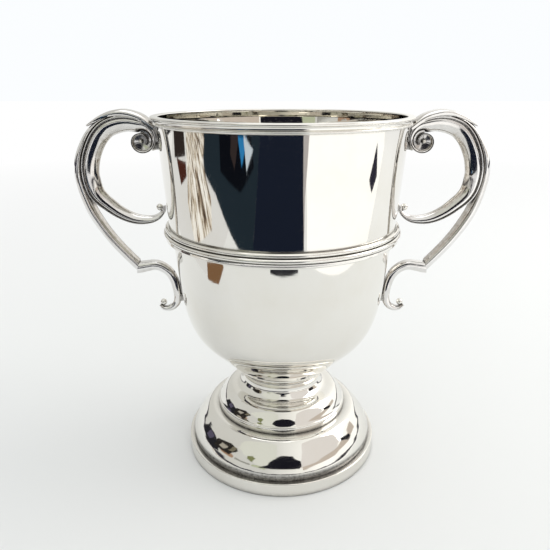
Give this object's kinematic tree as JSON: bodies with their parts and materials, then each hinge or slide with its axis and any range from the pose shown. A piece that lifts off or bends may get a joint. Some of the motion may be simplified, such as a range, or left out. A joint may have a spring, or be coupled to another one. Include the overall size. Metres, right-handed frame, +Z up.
{
  "type": "trophy cup",
  "caption": "Two-handled silver loving cup: tapered bowl with moulded rim and girdle, scroll handles, and a stepped domed foot on a plinth ring.",
  "frame": {"origin": "middle of the plinth ring's flat underside, which is the middle of the bottom face of the bounding box", "axes": "+X through both handles towards the right handle, +Y away from the side that is shown, +Z up along the axis of the cup"},
  "size_m": [0.199, 0.121, 0.1774],
  "materials": {
    "bowl_silver": "polished silver with fine rubbing scratches",
    "moulding_silver": "polished silver, tarnished in the grooves",
    "foot_silver": "polished silver with fine rubbing scratches",
    "scroll_silver": "polished cast silver, warm tarnish on the inner faces",
    "bead_silver": "polished silver",
    "solder_silver": "dull grey silver solder"
  },
  "bodies": {
    "root": {"bowl": "bowl_silver", "rim_moulding": "moulding_silver", "girdle_moulding": "moulding_silver", "stem_collar": "foot_silver", "foot_dome": "foot_silver", "foot_skirt": "foot_silver", "plinth_ring": "foot_silver", "left_c_scroll": "scroll_silver", "left_outer_limb": "scroll_silver", "left_thumb_leaf": "scroll_silver", "left_tail_scroll": "scroll_silver", "left_volute_boss": "bead_silver", "left_c_bead": "bead_silver", "left_tail_bead": "bead_silver", "left_upper_pad": "solder_silver", "left_lower_pad": "solder_silver", "right_c_scroll": "scroll_silver", "right_outer_limb": "scroll_silver", "right_thumb_leaf": "scroll_silver", "right_tail_scroll": "scroll_silver", "right_volute_boss": "bead_silver", "right_c_bead": "bead_silver", "right_tail_bead": "bead_silver", "right_upper_pad": "solder_silver", "right_lower_pad": "solder_silver"}
  },
  "joints": []
}
